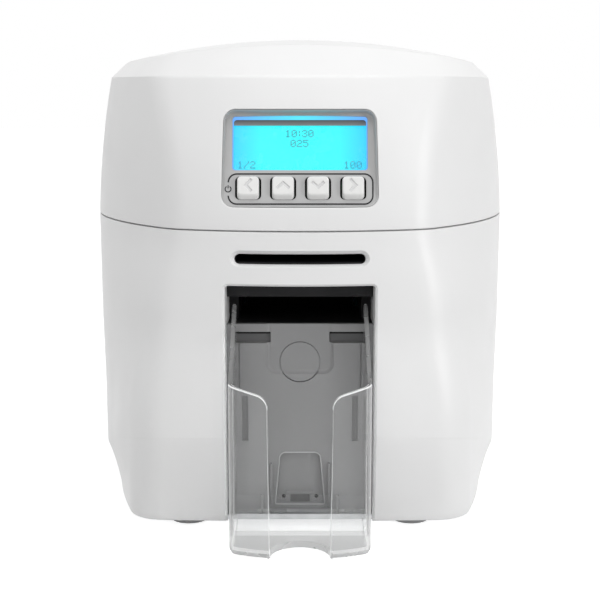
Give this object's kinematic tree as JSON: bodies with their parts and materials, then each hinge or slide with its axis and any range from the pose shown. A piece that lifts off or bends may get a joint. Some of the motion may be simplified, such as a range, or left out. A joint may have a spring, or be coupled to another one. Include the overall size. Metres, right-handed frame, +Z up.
{
  "type": "id card printer",
  "caption": "Desktop card printer with a hinged lid, a keyed display panel, a front card slot, a clear slide-out output tray and a rear card hopper.",
  "frame": {"origin": "on the table under the middle of the whole machine, tray included", "axes": "+Z up, the front with the tray faces -Y, +X to the right seen from the front"},
  "size_m": [0.2144, 0.2802, 0.2323],
  "materials": {
    "white_shell": "fine satin moulded",
    "key_white": "satin moulded",
    "panel_grey": "satin silver grey",
    "clear_tray": "clear moulded plastic",
    "window_clear": "clear glossy",
    "screen_cyan": "backlit display",
    "plate_grey": "satin grey moulded",
    "black_plastic": "matt black",
    "rubber_black": "matt",
    "roller_rubber": "satin",
    "tacky_blue": "tacky silicone",
    "steel": "turned",
    "zinc_sheet": "zinc plated sheet",
    "bronze": "sintered",
    "motor_black": "black with steel ends",
    "board_green": "solder mask",
    "chip_black": "moulded",
    "socket_metal": "tinned",
    "inlet_black": "moulded",
    "ribbon_dye": "dye film",
    "gear_white": "moulded acetal",
    "heat_sink": "extruded",
    "head_ceramic": "glazed ceramic"
  },
  "bodies": {
    "chassis": {"base_plate": "zinc_sheet", "board_parts": "chip_black", "card_guides": "zinc_sheet", "case_screws": "steel", "drive_motor": "motor_black", "exit_chute": "black_plastic", "fan_frame": "black_plastic", "feed_belt": "rubber_black", "hinge_pins": "steel", "hopper_frame": "black_plastic", "left_side_plate": "zinc_sheet", "lift_spring": "steel", "lower_case": "white_shell", "main_board": "board_green", "motor_belt": "rubber_black", "network_socket": "socket_metal", "power_inlet": "inlet_black", "ribbon_film": "ribbon_dye", "ribbon_frame": "black_plastic", "ribbon_motor": "zinc_sheet", "right_side_plate": "zinc_sheet", "roller_bushings": "bronze", "rubber_feet": "rubber_black", "slot_guide": "black_plastic", "stacker_back_plate": "plate_grey", "tie_bars": "steel", "usb_socket": "socket_metal"},
    "lid": {"lid_shell": "white_shell", "display_bezel": "panel_grey", "display_window": "window_clear", "lcd_module": "screen_cyan", "keypad_board": "board_green", "lid_frame": "zinc_sheet", "head_springs": "steel"},
    "print_head": {"head_block": "heat_sink", "thermal_head": "head_ceramic"},
    "latch": {"lid_latch": "black_plastic"},
    "key_left": {"button_left": "key_white"},
    "key_up": {"button_up": "key_white"},
    "key_down": {"button_down": "key_white"},
    "key_right": {"button_right": "key_white"},
    "platen": {"platen_shaft": "steel", "platen_roller": "rubber_black"},
    "front_feed": {"front_feed_roller": "roller_rubber"},
    "rear_feed": {"rear_feed_roller": "roller_rubber"},
    "front_pinch": {"front_pinch_roller": "roller_rubber"},
    "rear_pinch": {"rear_pinch_roller": "roller_rubber"},
    "cleaner": {"cleaning_roller": "tacky_blue"},
    "picker": {"pick_roller": "roller_rubber"},
    "motor_drive": {"motor_pulley": "black_plastic"},
    "flap": {"diverter_flap": "black_plastic"},
    "lift": {"lift_plate": "black_plastic"},
    "door": {"hopper_door": "white_shell"},
    "tray": {"stacker_tray": "clear_tray"},
    "fan": {"fan_rotor": "black_plastic"},
    "supply": {"supply_spool": "ribbon_dye"},
    "takeup": {"takeup_spool": "ribbon_dye", "takeup_gear": "gear_white"},
    "pinion": {"ribbon_pinion": "gear_white"}
  },
  "joints": [
    {"name": "lid_hinge", "type": "hinge", "parent": "chassis", "child": "lid", "pos_m": [0, 0.13689, 0.144], "axis": [-1, 0, 0], "range_deg": [0, 72]},
    {"name": "head_pivot", "type": "hinge", "parent": "lid", "child": "print_head", "pos_m": [0, 0.04019, 0.189], "axis": [-1, 0, 0], "range_deg": [0, 4], "stiffness_Nm_per_rad": 2, "springref_deg": -14.32, "deforming": ["head_springs"]},
    {"name": "latch_pivot", "type": "hinge", "parent": "lid", "child": "latch", "pos_m": [0, -0.05981, 0.165], "axis": [1, 0, 0], "range_deg": [0, 8], "stiffness_Nm_per_rad": 0.2, "springref_deg": -17.19},
    {"name": "key_left_press", "type": "slide", "parent": "lid", "child": "key_left", "axis": [0, 0.9659, -0.2588], "range_m": [0, 0.001], "stiffness_N_per_m": 600, "springref_m": -0.001},
    {"name": "key_up_press", "type": "slide", "parent": "lid", "child": "key_up", "axis": [0, 0.9659, -0.2588], "range_m": [0, 0.001], "stiffness_N_per_m": 600, "springref_m": -0.001},
    {"name": "key_down_press", "type": "slide", "parent": "lid", "child": "key_down", "axis": [0, 0.9659, -0.2588], "range_m": [0, 0.001], "stiffness_N_per_m": 600, "springref_m": -0.001},
    {"name": "key_right_press", "type": "slide", "parent": "lid", "child": "key_right", "axis": [0, 0.9659, -0.2588], "range_m": [0, 0.001], "stiffness_N_per_m": 600, "springref_m": -0.001},
    {"name": "door_hinge", "type": "hinge", "parent": "chassis", "child": "door", "pos_m": [0, 0.13569, 0.038], "axis": [-1, 0, 0], "range_deg": [0, 95]},
    {"name": "tray_slide", "type": "slide", "parent": "chassis", "child": "tray", "axis": [0, -1, 0], "range_m": [0, 0.06]},
    {"name": "lift_slide", "type": "slide", "parent": "chassis", "child": "lift", "axis": [0, 0, 1], "range_m": [-0.08, 0], "stiffness_N_per_m": 60, "springref_m": 0.02, "deforming": ["lift_spring"]},
    {"name": "flap_pivot", "type": "hinge", "parent": "chassis", "child": "flap", "pos_m": [0, -0.01381, 0.12], "axis": [1, 0, 0], "range_deg": [0, 12], "stiffness_Nm_per_rad": 0.05, "springref_deg": -17.19},
    {"name": "platen_spin", "type": "hinge", "parent": "chassis", "child": "platen", "pos_m": [0, 0.00419, 0.1244], "axis": [1, 0, 0], "continuous": true},
    {"name": "motor_spin", "type": "hinge", "parent": "chassis", "child": "motor_drive", "pos_m": [0, 0.00619, 0.07], "axis": [1, 0, 0], "continuous": true},
    {"name": "front_feed_spin", "type": "hinge", "parent": "chassis", "child": "front_feed", "pos_m": [0, -0.03981, 0.1244], "axis": [1, 0, 0], "continuous": true},
    {"name": "rear_feed_spin", "type": "hinge", "parent": "chassis", "child": "rear_feed", "pos_m": [0, 0.02819, 0.1244], "axis": [1, 0, 0], "continuous": true},
    {"name": "front_pinch_spin", "type": "hinge", "parent": "chassis", "child": "front_pinch", "pos_m": [0, -0.03981, 0.1367], "axis": [1, 0, 0], "continuous": true},
    {"name": "rear_pinch_spin", "type": "hinge", "parent": "chassis", "child": "rear_pinch", "pos_m": [0, 0.02819, 0.1367], "axis": [1, 0, 0], "continuous": true},
    {"name": "cleaning_spin", "type": "hinge", "parent": "chassis", "child": "cleaner", "pos_m": [0, 0.04619, 0.1372], "axis": [1, 0, 0], "continuous": true},
    {"name": "pick_spin", "type": "hinge", "parent": "chassis", "child": "picker", "pos_m": [0, 0.06519, 0.1392], "axis": [1, 0, 0], "continuous": true},
    {"name": "takeup_spin", "type": "hinge", "parent": "chassis", "child": "takeup", "pos_m": [0, 0.04019, 0.165], "axis": [1, 0, 0], "continuous": true},
    {"name": "supply_spin", "type": "hinge", "parent": "chassis", "child": "supply", "pos_m": [0, -0.03381, 0.165], "axis": [1, 0, 0], "continuous": true},
    {"name": "pinion_spin", "type": "hinge", "parent": "chassis", "child": "pinion", "pos_m": [0, 0.06111, 0.15293], "axis": [1, 0, 0], "continuous": true},
    {"name": "fan_spin", "type": "hinge", "parent": "chassis", "child": "fan", "pos_m": [-0.062, 0.12509, 0.078], "axis": [0, 1, 0], "continuous": true}
  ],
  "couplings": [
    {"joint": "motor_spin", "follows": "platen_spin", "ratio": 1.8},
    {"joint": "front_feed_spin", "follows": "platen_spin", "ratio": 1},
    {"joint": "rear_feed_spin", "follows": "platen_spin", "ratio": 1},
    {"joint": "front_pinch_spin", "follows": "platen_spin", "ratio": -1.5556},
    {"joint": "rear_pinch_spin", "follows": "platen_spin", "ratio": -1.5556},
    {"joint": "cleaning_spin", "follows": "platen_spin", "ratio": -1.4},
    {"joint": "pinion_spin", "follows": "takeup_spin", "ratio": -3},
    {"joint": "supply_spin", "follows": "takeup_spin", "ratio": 0.71429}
  ]
}
